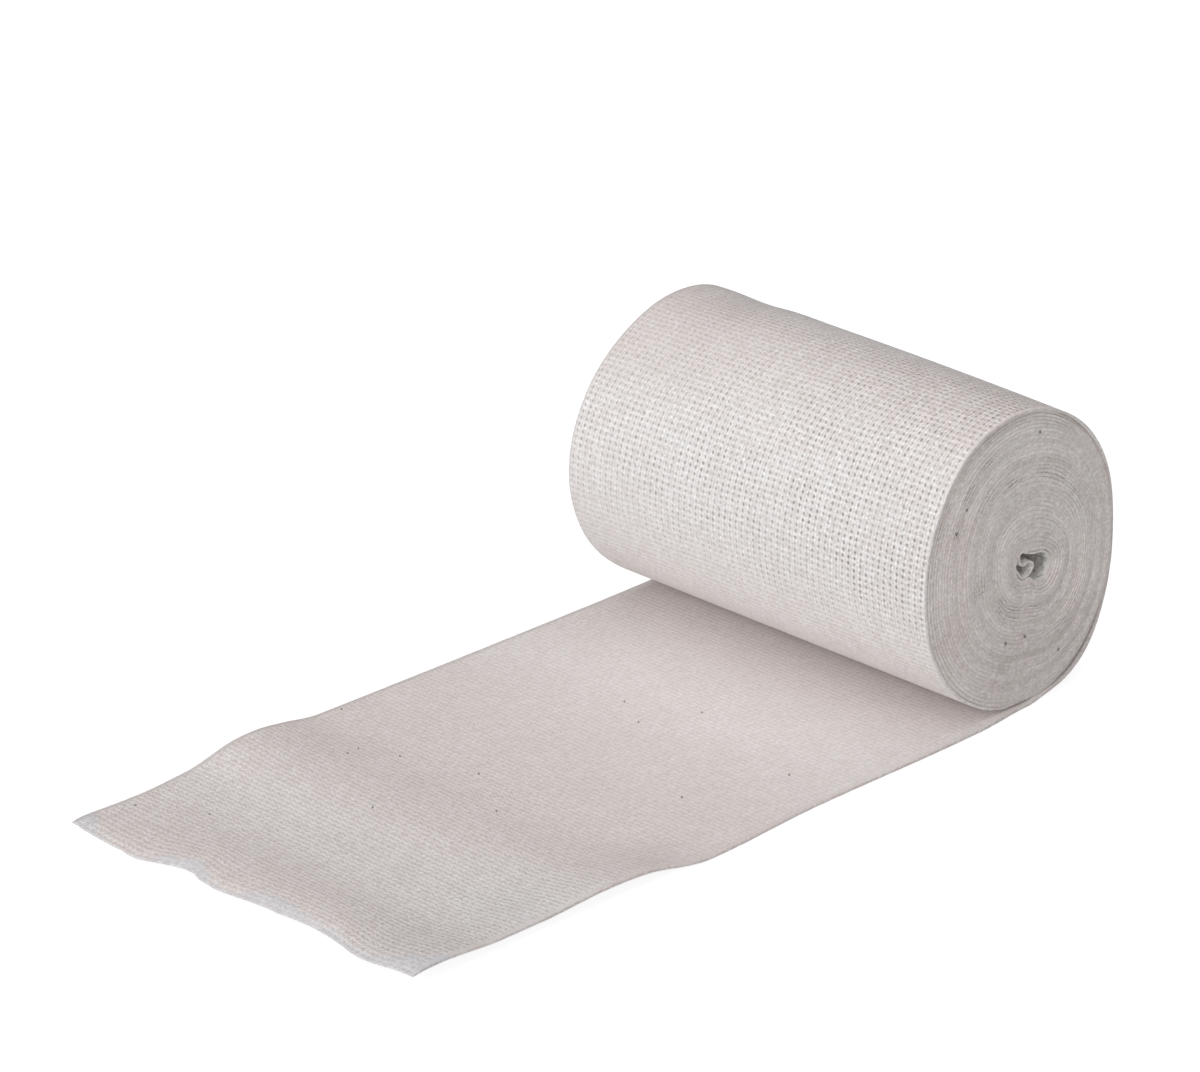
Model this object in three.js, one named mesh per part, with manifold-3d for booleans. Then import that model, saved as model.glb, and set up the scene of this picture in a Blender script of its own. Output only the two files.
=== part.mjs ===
// A short stretch bandage: one woven cotton strip, wound into a roll, with its loose end laid out in front.
//
// Millimetres, +Z up. The roll's axis runs along Y and the loose end lies along -X.
// The origin is on the surface that the bandage rests on, under the roll's axis and midway along its width.
// The strip is a single piece of cloth, so the bandage is a single closed solid: the wound form, joined to
// the sheet of the loose end where the outermost turn leaves it.

import * as THREE from 'three';
import { mergeVertices } from 'three/addons/utils/BufferGeometryUtils.js';
import Module from 'manifold-3d';

const wasm = await Module();
wasm.setup();

// ---- Driving dimensions ----------------------------------------------------------------------------------

const clothWidth = 80;
const sheetThickness = 1;
const axisHeight = 27;
const eyeRadius = 2.7;
const eyeAcross = 1.8; // the eye lies a little off the roll's axis, towards +X
const eyeDrop = 0.9;
const cutEndAt = -135.8;

const halfWidth = clothWidth / 2;
const sinkIntoSheet = 0.15; // how far the roll's flat spot beds into the sheet below it
const rimSetback = 0.1; // keeps the wound form's rims just inside the sheet's selvedges

// The outermost turn is slightly oval and slightly coned: the radius of its outer face around the axis, at
// the rim towards -Y (near), halfway along (middle) and at the rim towards +Y (far).
// Angles are in degrees from +X towards +Z.
const turnShape = [
  { angle: 0, near: 24.1, middle: 24.2, far: 24.4 },
  { angle: 30, near: 24.3, middle: 24.8, far: 24.9 },
  { angle: 60, near: 25.1, middle: 26.3, far: 26.5 },
  { angle: 90, near: 26.3, middle: 26.2, far: 25.7 },
  { angle: 120, near: 26.6, middle: 25.6, far: 24.7 },
  { angle: 150, near: 24.6, middle: 24.8, far: 25.1 },
  { angle: 180, near: 23.5, middle: 24.4, far: 25.5 },
  { angle: 210, near: 24.0, middle: 24.5, far: 25.3 },
  { angle: 240, near: 25.3, middle: 25.3, far: 25.3 },
  { angle: 270, near: 26.7, middle: 26.8, far: 26.8 },
  { angle: 300, near: 28.1, middle: 28.1, far: 28.1 },
  { angle: 330, near: 26.1, middle: 26.1, far: 26.1 },
];

// How deep the wound edges lie behind the rim, from the eye (edge 0) out to the rim (edge 1). The outermost
// turn stands proud of the next one, and the turns inside it are pushed in and out in soft rings.
const windingDepth = [
  { edge: 0, near: 1.3, far: 0.9 },
  { edge: 0.15, near: 0.5, far: 0.4 },
  { edge: 0.35, near: 1.1, far: 0.9 },
  { edge: 0.55, near: 0.5, far: 1.1 },
  { edge: 0.75, near: 1.0, far: 0.5 },
  { edge: 0.9, near: 0.6, far: 0.8 },
  { edge: 0.955, near: 0.8, far: 0.9 },
  { edge: 0.965, near: 0, far: 0 },
  { edge: 1, near: 0, far: 0 },
];
const mainTwists = 5; // the winding reads as this many broad spiral ridges on each end
const twistRelief = 0.45;
const twistFade = 0.08; // the ridges die out over this last part of the way to the rim

// The outer face of the turn that becomes the loose end, around the axis: it lies inside the wound form at
// first, comes out of it on the +X side and runs down to the surface.
const leavingTurn = [
  { angle: -6, radius: 22.9 },
  { angle: -18, radius: 24.6 },
  { angle: -32, radius: 26.7 },
  { angle: -42, radius: 27.9 },
  { angle: -48, radius: 28.4 },
  { angle: -54, radius: 28.65 },
  { angle: -60, radius: 28.6 },
  { angle: -66, radius: 28.2 },
  { angle: -72, radius: 27.6 },
  { angle: -80, radius: 27.3 },
];

// Soft folds that cross the loose end from selvedge to selvedge. Each crest runs in a straight line from
// acrossFar (at +Y) to acrossNear (at -Y), with its height at the two selvedges and halfway between.
const crossFolds = [
  { acrossFar: -98, acrossNear: -95, reach: 15, far: 1.5, middle: 0.8, near: 0.6 },
  { acrossFar: -129, acrossNear: -131, reach: 14, far: 0, middle: 1.1, near: 0.9 },
];

// Stretches of selvedge that stand off the surface, on one side (1 is +Y, -1 is -Y), fading in over fade.
const liftedSelvedges = [
  { side: -1, from: -74, to: -150, fade: 14, rise: 1.7, reach: 15 },
  { side: 1, from: -82, to: -110, fade: 8, rise: 0.4, reach: 12 },
];

// How far the two selvedges and the cut end stray from straight lines.
const selvedgeWander = [
  { along: -136, near: 0.2, far: -1.8 },
  { along: -122, near: 0.2, far: -2.2 },
  { along: -108, near: 0.4, far: -0.8 },
  { along: -86, near: 0.9, far: -0.1 },
  { along: -72, near: 1.6, far: -0.2 },
  { along: -50, near: 0.7, far: -0.3 },
  { along: -20, near: 1.1, far: -0.3 },
  { along: -8, near: 0.8, far: -0.2 },
  { along: 4, near: 0, far: 0 },
];
const cutWander = [
  { across: -40, out: 0 },
  { across: -33, out: 0.1 },
  { across: -27, out: -0.4 },
  { across: -21, out: -1.6 },
  { across: -15, out: -2.0 },
  { across: -9, out: -1.5 },
  { across: -3, out: -1.0 },
  { across: 3, out: -0.1 },
  { across: 7, out: -0.2 },
  { across: 12, out: -1.4 },
  { across: 17, out: -0.1 },
  { across: 21, out: 1.4 },
  { across: 27, out: 1.2 },
  { across: 34, out: 0.8 },
  { across: 40, out: 0.2 },
];
const cutWanderReach = 12; // the cut end's waviness dies out over this length of cloth

// ---- Mesh density ----------------------------------------------------------------------------------------

const aroundSteps = 56;
const stepsPerTwist = 3;
const turnStations = [-1, -0.975, -0.75, -0.45, -0.15, 0.15, 0.45, 0.75, 0.975, 1]; // parts of halfWidth
const acrossStations = [
  -1, -0.91, -0.775, -0.65, -0.525, -0.4, -0.225, -0.075, 0.075, 0.175, 0.3, 0.425, 0.525, 0.675, 0.825, 0.92, 1,
]; // the same
const leavingStep = 4; // degrees
const flatStations = [4, -14, -32, -48, -60];
const foldStep = 3.2;

// ---- Small helpers ---------------------------------------------------------------------------------------

const radians = THREE.MathUtils.degToRad;

// A smooth value between rows, by a Catmull-Rom curve through the four nearest of them.
function smooth(before, from, to, after, part) {
  const slopeFrom = (to - before) / 2;
  const slopeTo = (after - from) / 2;
  const bend = 3 * (to - from) - 2 * slopeFrom - slopeTo;
  const twist = slopeFrom + slopeTo - 2 * (to - from);
  return from + part * (slopeFrom + part * (bend + part * twist));
}

// Reads a table at a place between its rows; rows go up in `key`, and its ends carry on level.
function readTable(rows, key, column, place) {
  const last = rows.length - 1;
  const clamped = THREE.MathUtils.clamp(place, rows[0][key], rows[last][key]);
  let row = 0;
  while (row < last - 1 && rows[row + 1][key] < clamped) row += 1;
  const part = (clamped - rows[row][key]) / (rows[row + 1][key] - rows[row][key]);
  const at = (index) => rows[THREE.MathUtils.clamp(index, 0, last)][column];
  return smooth(at(row - 1), at(row), at(row + 1), at(row + 2), part);
}

// Straight lines between rows, for profiles that have a sharp step.
function readSteps(rows, key, column, place) {
  let row = 0;
  while (row < rows.length - 2 && rows[row + 1][key] < place) row += 1;
  const part = (place - rows[row][key]) / (rows[row + 1][key] - rows[row][key]);
  return THREE.MathUtils.lerp(rows[row][column], rows[row + 1][column], THREE.MathUtils.clamp(part, 0, 1));
}

// Reads a table that goes once round the axis.
function readAround(rows, column, degrees) {
  const step = 360 / rows.length;
  const turns = THREE.MathUtils.euclideanModulo(degrees, 360) / step;
  const row = Math.floor(turns);
  const at = (index) => rows[THREE.MathUtils.euclideanModulo(index, rows.length)][column];
  return smooth(at(row - 1), at(row), at(row + 1), at(row + 2), turns - row);
}

// A curve through the values near, middle and far at -Y, the centre and +Y.
function acrossBlend(near, middle, far, across) {
  const side = across / halfWidth;
  return middle + (side * (far - near)) / 2 + side * side * ((near + far) / 2 - middle);
}

// A soft hump: 1 at its middle, 0 at `reach` from it and beyond.
function hump(distance, reach) {
  const part = Math.min(Math.abs(distance) / reach, 1);
  return (1 + Math.cos(Math.PI * part)) / 2;
}

const mergeWithin = 1e-4;

function solidFromPoints(positions, triangles) {
  const geometry = new THREE.BufferGeometry();
  geometry.setAttribute('position', new THREE.Float32BufferAttribute(positions, 3));
  geometry.setIndex(triangles);
  const merged = mergeVertices(geometry, mergeWithin);
  const mesh = new wasm.Mesh({
    numProp: 3,
    vertProperties: merged.attributes.position.array,
    triVerts: new Uint32Array(merged.index.array),
  });
  return new wasm.Manifold(mesh);
}

// ---- The wound form --------------------------------------------------------------------------------------

function turnRadius(degrees, across) {
  const near = readAround(turnShape, 'near', degrees);
  const middle = readAround(turnShape, 'middle', degrees);
  const far = readAround(turnShape, 'far', degrees);
  return acrossBlend(near, middle, far, across);
}

// A point of the wound form: `edge` goes from 0 at the eye to 1 at the outermost turn. The outermost turn is
// flat where it beds into the sheet under it.
function woundPoint(degrees, edge, across, profileAcross) {
  const radius = turnRadius(degrees, profileAcross);
  const outerX = radius * Math.cos(radians(degrees));
  const outerZ = Math.max(axisHeight + radius * Math.sin(radians(degrees)), sheetThickness - sinkIntoSheet);
  const innerX = eyeAcross + eyeRadius * Math.cos(radians(degrees));
  const innerZ = axisHeight - eyeDrop + eyeRadius * Math.sin(radians(degrees));
  const x = THREE.MathUtils.lerp(innerX, outerX, edge);
  const z = THREE.MathUtils.lerp(innerZ, outerZ, edge);
  return [x, across, z];
}

// How far a point of an end lies behind the rim: the soft rings, and the spiral ridges of the main twists.
function endDepth(side, degrees, edge) {
  const column = side < 0 ? 'near' : 'far';
  const spiral = Math.cos(2 * Math.PI * (mainTwists * edge - (side * degrees) / 360));
  const fade = Math.min(1, (1 - edge) / twistFade);
  return readSteps(windingDepth, 'edge', column, edge) + (twistRelief / 2) * (1 + spiral) * fade;
}

// The stations that a ring of the wound form takes in turn: along the outermost turn, in over the far end,
// back through the eye and out over the near end.
function woundStations() {
  const lip = windingDepth[windingDepth.length - 2].edge;
  const step = windingDepth[windingDepth.length - 3].edge;
  const edges = [lip, step];
  const inner = mainTwists * stepsPerTwist;
  for (let k = inner - 1; k >= 0; k -= 1) edges.push((step * k) / inner);
  const stations = turnStations.map((part) => ({ edge: 1, across: part * halfWidth }));
  edges.forEach((edge) => stations.push({ edge, side: 1 }));
  edges.reverse().forEach((edge) => stations.push({ edge, side: -1 }));
  return stations;
}

function woundForm() {
  const rim = halfWidth - rimSetback;
  const positions = [];
  const stations = woundStations();
  for (const station of stations) {
    for (let k = 0; k < aroundSteps; k += 1) {
      const degrees = (360 * k) / aroundSteps;
      if (station.side === undefined) {
        const across = THREE.MathUtils.clamp(station.across, -rim, rim);
        positions.push(...woundPoint(degrees, 1, across, station.across));
      } else {
        const across = station.side * (rim - endDepth(station.side, degrees, station.edge));
        positions.push(...woundPoint(degrees, station.edge, across, station.side * halfWidth));
      }
    }
  }
  const triangles = [];
  for (let s = 0; s < stations.length; s += 1) {
    for (let k = 0; k < aroundSteps; k += 1) {
      const here = s * aroundSteps;
      const next = ((s + 1) % stations.length) * aroundSteps;
      const turned = (k + 1) % aroundSteps;
      triangles.push(here + k, next + turned, here + turned);
      triangles.push(here + k, next + k, next + turned);
    }
  }
  return solidFromPoints(positions, triangles);
}

// ---- The loose end ---------------------------------------------------------------------------------------

// How high the underside of the cloth stands off the surface.
function foldHeight(along, across) {
  let height = 0;
  for (const fold of crossFolds) {
    const part = (across + halfWidth) / clothWidth;
    const crest = THREE.MathUtils.lerp(fold.acrossNear, fold.acrossFar, part);
    const rise = Math.max(0, acrossBlend(fold.near, fold.middle, fold.far, across));
    height += rise * hump(along - crest, fold.reach);
  }
  for (const lift of liftedSelvedges) {
    const started = THREE.MathUtils.smoothstep(lift.from - along, 0, lift.fade);
    const ended = THREE.MathUtils.smoothstep(along - lift.to, 0, lift.fade);
    height += lift.rise * started * ended * hump(across - lift.side * halfWidth, lift.reach);
  }
  return height;
}

// The outer, lower face of the cloth in the plane across the roll, from where it lies inside the wound form
// to the last station before the cut end.
function clothPath() {
  const path = [];
  const first = leavingTurn[0].angle;
  const last = leavingTurn[leavingTurn.length - 1].angle;
  const falling = [...leavingTurn].reverse();
  for (let degrees = first; degrees > last; degrees -= leavingStep) {
    const radius = readTable(falling, 'angle', 'radius', degrees);
    const x = radius * Math.cos(radians(degrees));
    path.push({ x, z: Math.max(0, axisHeight + radius * Math.sin(radians(degrees))) });
  }
  flatStations.forEach((x) => path.push({ x, z: 0 }));
  const start = flatStations[flatStations.length - 1];
  const steps = Math.round((start - cutEndAt) / foldStep);
  for (let k = 1; k <= steps; k += 1) {
    path.push({ x: start + ((cutEndAt - start) * k) / steps, z: 0 });
  }
  return path;
}

// The direction from the lower face through the cloth, square to the path.
function throughCloth(path, index) {
  const before = path[Math.max(index - 1, 0)];
  const after = path[Math.min(index + 1, path.length - 1)];
  const length = Math.hypot(after.x - before.x, after.z - before.z);
  return { x: (after.z - before.z) / length, z: -(after.x - before.x) / length };
}

function looseEnd() {
  const path = clothPath();
  const positions = [];
  for (const face of [0, sheetThickness]) {
    path.forEach((point, index) => {
      const through = throughCloth(path, index);
      for (const side of acrossStations) {
        const across = side * halfWidth;
        const wanderColumn = side < 0 ? 'near' : 'far';
        // The wander is full at a selvedge and dies out towards the middle of the cloth.
        const wander = readTable(selvedgeWander, 'along', wanderColumn, point.x) * side * Math.abs(side);
        const nearCut = Math.max(0, 1 - (point.x - cutEndAt) / cutWanderReach);
        const x = point.x + face * through.x - nearCut * readTable(cutWander, 'across', 'out', across);
        const z = point.z + face * through.z + (point.x < 0 ? foldHeight(point.x, across) : 0);
        positions.push(x, across + wander, z);
      }
    });
  }
  return solidFromPoints(positions, sheetTriangles(path.length, acrossStations.length));
}

// The two faces of a sheet and its four edges, as one closed skin. The lower face comes first.
function sheetTriangles(rows, columns) {
  const triangles = [];
  const upper = rows * columns;
  const quad = (a, b, c, d) => triangles.push(a, c, b, a, d, c);
  for (let r = 0; r < rows - 1; r += 1) {
    for (let c = 0; c < columns - 1; c += 1) {
      const corner = r * columns + c;
      quad(corner, corner + 1, corner + columns + 1, corner + columns);
      quad(upper + corner, upper + corner + columns, upper + corner + columns + 1, upper + corner + 1);
    }
    const near = r * columns;
    const far = near + columns - 1;
    quad(near, near + columns, upper + near + columns, upper + near);
    quad(far, upper + far, upper + far + columns, far + columns);
  }
  for (let c = 0; c < columns - 1; c += 1) {
    const last = (rows - 1) * columns + c;
    quad(c, upper + c, upper + c + 1, c + 1);
    quad(last, last + 1, upper + last + 1, upper + last);
  }
  return triangles;
}

// ---- The bandage -----------------------------------------------------------------------------------------

const cotton = new THREE.MeshStandardMaterial({ color: '#d9d1cd', roughness: 0.95, metalness: 0 });

function bandage() {
  const whole = woundForm().add(looseEnd());
  const { vertProperties, triVerts } = whole.getMesh();
  const geometry = new THREE.BufferGeometry();
  geometry.setAttribute('position', new THREE.BufferAttribute(vertProperties, 3));
  geometry.setIndex(new THREE.BufferAttribute(triVerts, 1));
  geometry.computeVertexNormals();
  const mesh = new THREE.Mesh(geometry, cotton);
  mesh.name = 'bandage';
  return mesh;
}

const group = new THREE.Group();
group.add(bandage());

export default group;
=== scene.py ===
"""A short stretch bandage: one woven cotton strip, wound into a roll, with its loose end laid out in front.

The tables are in millimetres, in the part's own frame: the roll's axis runs along Y, the loose end lies
along -X, and the origin is on the surface under the middle of the roll. The mesh is made in metres.
"""

import math
from types import SimpleNamespace

import bpy
import numpy as np
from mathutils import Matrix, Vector, noise


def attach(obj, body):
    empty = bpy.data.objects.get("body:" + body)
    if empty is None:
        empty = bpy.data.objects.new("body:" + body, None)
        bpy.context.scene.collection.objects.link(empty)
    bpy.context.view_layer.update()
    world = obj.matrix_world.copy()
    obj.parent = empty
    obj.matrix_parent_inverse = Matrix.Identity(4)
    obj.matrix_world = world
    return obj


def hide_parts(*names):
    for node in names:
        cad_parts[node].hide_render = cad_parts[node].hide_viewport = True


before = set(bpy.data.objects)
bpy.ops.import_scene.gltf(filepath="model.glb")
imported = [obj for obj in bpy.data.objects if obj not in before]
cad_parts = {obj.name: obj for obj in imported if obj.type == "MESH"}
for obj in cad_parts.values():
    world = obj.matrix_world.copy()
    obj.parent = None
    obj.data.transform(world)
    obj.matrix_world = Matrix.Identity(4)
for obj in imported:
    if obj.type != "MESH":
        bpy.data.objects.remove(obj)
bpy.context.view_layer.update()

MM = 0.001

# ---- Sizes of the strip ----

CLOTH_WIDTH = 80.0
HALF_WIDTH = CLOTH_WIDTH / 2
CLOTH_THICKNESS = 0.56
AXIS_HEIGHT = 27.0
CUT_END_AT = -135.8
LIFTS_OFF_AT = 3.3  # the strip leaves the surface here and starts up round the roll
TURNS = 36
OUTERMOST_ENDS_AT = 290  # the outermost turn shows up to this angle, and is covered beyond it
LOOSENING = 0.12  # the turns lie this much looser at the core than halfway, and tighter at the rim
FILLED_SHARE = 0.97  # the part of the pitch that the cloth fills, deep in the winding
LOOSE_SHARE = 0.9  # and in the outer turns
DEEP_FROM, DEEP_BY = 0.8, 6  # the turns over which the winding goes from outer to deep
CURL_THICKNESS = 0.42  # the loose inner end hangs free and thin
SWOLLEN_THICKNESS = 0.92  # the cloth's soft edges swell to this much where there is room
THINNEST = 0.3  # nowhere is it pressed thinner than this
CUT_THICKNESS_SHARE = 0.45  # the cut end is this part as thick as the cloth
CUT_THICKENS_OVER = 1.8
WOUND_STRETCH = 1.065  # the cloth was stretched this much as it was wound
BED_HEIGHT = 0.58  # the roll's flat spot, on top of the sheet under it

# The outer face of the outermost turn around the axis: the angle from +X towards +Z, and the radius at the
# rim towards -Y, halfway and at the rim towards +Y. The strip winds inwards as the angles grow.
TURN_SHAPE = ((0, 24.1, 24.2, 24.4), (30, 24.25, 24.75, 24.85), (60, 25.1, 26.3, 26.5),
              (90, 26.35, 26.25, 25.65), (120, 26.6, 25.6, 24.7), (150, 24.55, 24.75, 25.05),
              (180, 23.5, 24.4, 25.5), (210, 23.95, 24.5, 25.3), (240, 25.3, 25.3, 25.3),
              (270, 26.7, 26.9, 26.9), (300, 27.5, 27.3, 27.2), (330, 25.9, 25.6, 25.4))

# Shallow ridges and a dip round the top of the roll, near its +Y end: across and rise.
TOP_WAVES = ((38.1, 0.17), (28.1, -0.21), (20, 0.09))
TOP_WAVE_BREADTH = 7
TOP_WAVE_AT = 70  # the angle where they are highest
TOP_WAVE_REACH = 45

# The outer face of the strip between the surface and the outermost turn, on the +X side: angle and radius.
LEAVING_TURN = ((-83, 27.2), (-77, 27.3), (-72, 27.6), (-66, 28.2), (-60, 28.6), (-54, 28.65),
                (-48, 28.4), (-42, 27.9), (-32, 26.7), (-16, 25.1), (0, 24.1))
JOINS_FROM = -60  # from this angle on the strip takes up the outermost turn's own unevenness

# The innermost turn around the core's own centre, and how far the turns between it and the rim are pushed
# outwards (as a part of the way) on that side: angle, radius and push.
CORE_CENTRE = (3.3, 24.9)
CORE_SHAPE = ((0, 5.3, 0.04), (45, 3.3, 0.03), (90, 2.8, 0.02), (135, 4.2, 0.0),
              (180, 4.0, -0.04), (225, 3.2, -0.04), (270, 2.5, -0.03), (315, 5.1, 0.01))

# The turns between them are a little wavy.
WAVE_HEIGHT = 0.3
WAVE_LENGTH = 7
WAVE_DRIFT = 0.15  # how much the waves change from one turn to the next

# The loose inner end of the strip, curled up in the core: x and z of its outer face.
CORE_CURL = ((8.3, 25.6), (6.6, 26.7), (4.8, 26.9), (3.1, 27.35), (1.4, 28.0), (0.2, 27.6),
             (-0.35, 26.6), (-0.4, 25.6), (-0.1, 24.8), (0.5, 24.0), (1.1, 23.2), (2.0, 22.85),
             (3.1, 23.0), (4.0, 23.45), (4.6, 24.3), (4.45, 25.05), (3.7, 25.6), (2.75, 25.65),
             (1.9, 25.45), (1.25, 25.9), (1.0, 26.6), (1.05, 27.3))
CURL_LEAN = (0.25, -0.15)  # how far x and z move from the middle to the +Y end

# How deep the wound edges lie behind the rim: the part of the way from the core (0) out to the rim (1), and
# the depths at -Y and at +Y.
WINDING_DEPTH = ((0, 0.8, 0.9), (0.12, 0.3, 0.35), (0.3, 0.45, 0.7), (0.5, 0.12, 0.45),
                 (0.7, 0.15, 0.2), (0.85, 0.22, 0.35), (0.94, 0.38, 0.4), (1, 0.6, 0.5))
# The same for the outermost turn and the strip on its way to it: angle and depth.
OUTER_DEPTH = ((-83, 0.0), (-68, 0.5), (-40, 0.85), (0, 0.75), (35, 0.35), (70, 0.1), (110, 0.3),
               (160, 0.5), (200, 0.55))
MAIN_TWISTS = 5
TWIST_RELIEF = 0.2
SUNK_DEPTH = 0.4  # the turns just under the outermost one lie this much behind it
SUNK_AT = 66  # at this angle
SUNK_REACH = 60
OWN_STEP = 0.065  # each turn's own small step in or out
FINE_RIPPLE = 0.05
LEAST_DEPTH = 0.03

# Soft folds that cross the loose end: where the crest meets each selvedge, its reach and its heights.
#                far  near  reach far  middle near
CROSS_FOLDS = ((-98, -95, 15, 1.5, 0.75, 0.6),
               (-129, -131, 14, 0, 1.05, 0.85))

# Stretches of selvedge that stand off the surface.
#                    side from  to   fade rise reach
LIFTED_SELVEDGES = ((-1, -74, -150, 14, 1.7, 15),
                    (1, -82, -110, 8, 0.4, 12))

# How far the two selvedges stray from straight lines: along, near and far.
SELVEDGE_WANDER = ((-136, 0.2, -1.8), (-122, 0.2, -2.2), (-108, 0.4, -0.8), (-86, 0.9, -0.1),
                   (-72, 1.6, -0.2), (-50, 0.7, -0.3), (-20, 1.1, -0.3), (0, 0.9, -0.1))
FULL_WANDER_FROM = 10  # this far in front of the axis
# The same for the cut end: across and out.
CUT_WANDER = ((-40, 0.0), (-33, 0.1), (-27, -0.4), (-21, -1.6), (-15, -2.0), (-9, -1.5), (-3, -1.0),
              (3, -0.1), (7, -0.2), (12, -1.4), (17, -0.1), (21, 1.4), (27, 1.2), (34, 0.8), (40, 0.2))
CUT_WANDER_REACH = 12
CUT_FRAY = 0.22
CUT_FRAY_LENGTH = 1.9
SELVEDGE_UNEVENNESS = 0.06
SELVEDGE_UNEVEN_LENGTH = 2.1

# ---- How the weave, the light and the wear change over the strip ----

# The weave round the outermost turn: the angle, how far it is pulled open there, how much whiter it looks,
# for that and as a painted sheen where the light falls, and how strongly its yarns stand out.
TURN_WEAVE = ((0, 0.1, 0.1, 1.3), (60, 0.4, 0.8, 1.5), (74, 0.5, 0.5, 1.6),
              (85, 0.65, 0.12, 1.7), (110, 0.68, 0.28, 1.6), (127, 0.9, 0.5, 1.4),
              (150, 1.0, 0.85, 1.3), (172, 1.0, 0.95, 1.3), (190, 0.7, 0.9, 1.3),
              (205, 0.4, 0.75, 1.3), (225, 0.25, 0.75, 1.3), (290, 0.1, 0.5, 1.2))
HIDDEN_WEAVE = (0.1, 0.2, 1.3)  # open, white and relief of the turns under it

# Where the pairs of warp yarns show as ribs on the outermost turn, in painted light and shade: the angle,
# the reach and how much.
RIBBED = ((225, 45, 1.0), (64, 14, 0.9))
TAIL_RIBS = 0.5

# The fold on the loose end whose lit slope is painted whiter as sheen, and the band before the cut end
# painted lighter.
SHEEN_FLANK_AT, SHEEN_FLANK_REACH = -109, 16
PAINTED_LIGHT_BAND_AT, PAINTED_LIGHT_BAND_REACH = -117, 17

# How far in from the cut end the strip is stiffened and whitened, in ragged patches: across and reach.
FUSED_REACH = ((-40, 7.5), (-37, 5.0), (-34, 2.6), (-30, 1.6), (-24, 1.2), (-17, 1.6), (-12, 2.2),
               (-6, 3.0), (-3, 2.8), (0, 0.9), (4, 0.7), (8, 1.8), (12, 3.2), (16, 2.4), (20, 0.5),
               (29, 0.3), (34, 1.6), (40, 4.6))

# Patches of the roll's near end where its turns stand a little apart, with painted shadow between: x, z and
# reach.
LOOSE_PATCHES = ((5, 41.5, 3), (9.5, 39.4, 3), (13, 36, 3), (15, 33, 3.5), (17, 29, 3),
                 (-10, 39, 3), (-8, 41, 3), (-3, 41, 3), (7, 30.5, 3), (10.5, 27, 3.5),
                 (12.5, 23.5, 3), (10.5, 20, 3), (-4.5, 20, 3), (-1, 18, 3), (4, 17, 3), (8.5, 17, 3),
                 (12, 12.5, 3), (17, 14, 3), (-10, 25, 3.5), (-9.5, 47, 3), (-14, 43, 4), (-16, 37, 3))

# Painted light and shade on the roll's near end, patches made lighter or darker: x, z, reach and how much.
END_PAINTED_SHADING = ((-20, 28, 12, 0.2), (-14, 42, 10, 0.14), (3, 49, 10, 0.13),
              (13, 42, 9, 0.05), (-11, 12, 9, 0.07), (15, 29, 10, 0.05),
              (12, 11, 13, -0.14), (-1, 6, 10, -0.1), (0, 14, 8, -0.06))

# The near end's fine lines of painted shadow between turns: how many turns in they are still full and
# are gone, and the angle round the roll where they are strongest and their reach from it.
RIM_SHADOW_LINES_FULL, RIM_SHADOW_LINES_GONE = 4, 8
RIM_SHADOW_LINES_AT, RIM_SHADOW_LINES_REACH = 155, 95


# ---- The camera, first ----

CAMERA_AZIMUTH = -45
CAMERA_ELEVATION = 23.1
CAMERA_LENS = 146.37
CAMERA_SENSOR = 36
CAMERA_AWAY = 0.82905  # metres from the origin along the view, then to its right and up
CAMERA_RIGHT = -0.04032
CAMERA_UP = 0.01786


def put(name, data):
    """Puts an object in the scene."""
    made = bpy.data.objects.new(name, data)
    bpy.context.scene.collection.objects.link(made)
    return made


def place_camera():
    """A long lens, looking down at the corner between the roll's near end and its front."""
    azimuth = math.radians(CAMERA_AZIMUTH)
    elevation = math.radians(CAMERA_ELEVATION)
    away = Vector((math.sin(azimuth) * math.cos(elevation),
                   -math.cos(azimuth) * math.cos(elevation),
                   math.sin(elevation)))
    right = Vector((math.cos(azimuth), math.sin(azimuth), 0))
    up = away.cross(right)
    lens = bpy.data.cameras.new("camera")
    lens.lens = CAMERA_LENS
    lens.sensor_width = CAMERA_SENSOR
    lens.sensor_fit = "HORIZONTAL"
    camera = put("camera", lens)
    camera.location = CAMERA_AWAY * away + CAMERA_RIGHT * right + CAMERA_UP * up
    camera.rotation_euler = away.to_track_quat("Z", "Y").to_euler()
    bpy.context.scene.camera = camera


# ---- Reading the tables ----

def columns(table):
    """The columns of a table, each as an array."""
    return np.array(table, float).T


def smooth(before, start, end, after, part):
    """A smooth value between two rows, by a Catmull-Rom curve through the four nearest."""
    slope_start = (end - before) / 2
    slope_end = (after - start) / 2
    bend = 3 * (end - start) - 2 * slope_start - slope_end
    twist = slope_start + slope_end - 2 * (end - start)
    return start + part * (slope_start + part * (bend + part * twist))


def read_table(places, values, place):
    """Reads a column at any place between its rows; its ends carry on level."""
    last = len(places) - 1
    inside = np.clip(place, places[0], places[last])
    row = np.clip(np.searchsorted(places, inside, side="right") - 1, 0, last - 1)
    part = (inside - places[row]) / (places[row + 1] - places[row])
    before = values[np.maximum(row - 1, 0)]
    after = values[np.minimum(row + 2, last)]
    return smooth(before, values[row], values[row + 1], after, part)


def read_around(values, degrees):
    """Reads a column whose rows go once round the axis in equal steps."""
    count = len(values)
    turns = np.mod(degrees, 360) * count / 360
    row = np.floor(turns).astype(int)
    near = [values[(row + k) % count] for k in (-1, 0, 1, 2)]
    return smooth(*near, turns - row)


def across_blend(near, middle, far, across):
    """A curve through the values at -Y, the centre and +Y."""
    side = across / HALF_WIDTH
    return middle + side * (far - near) / 2 + side * side * ((near + far) / 2 - middle)


def smoothstep(value, low, high):
    """A smooth step from 0 to 1 as the value goes from low to high."""
    part = np.clip((value - low) / (high - low), 0, 1)
    return part * part * (3 - 2 * part)


def hump(distance, reach):
    """1 at its middle, 0 at `reach` from it and beyond."""
    return (1 + np.cos(np.pi * np.minimum(np.abs(distance) / reach, 1))) / 2


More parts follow.
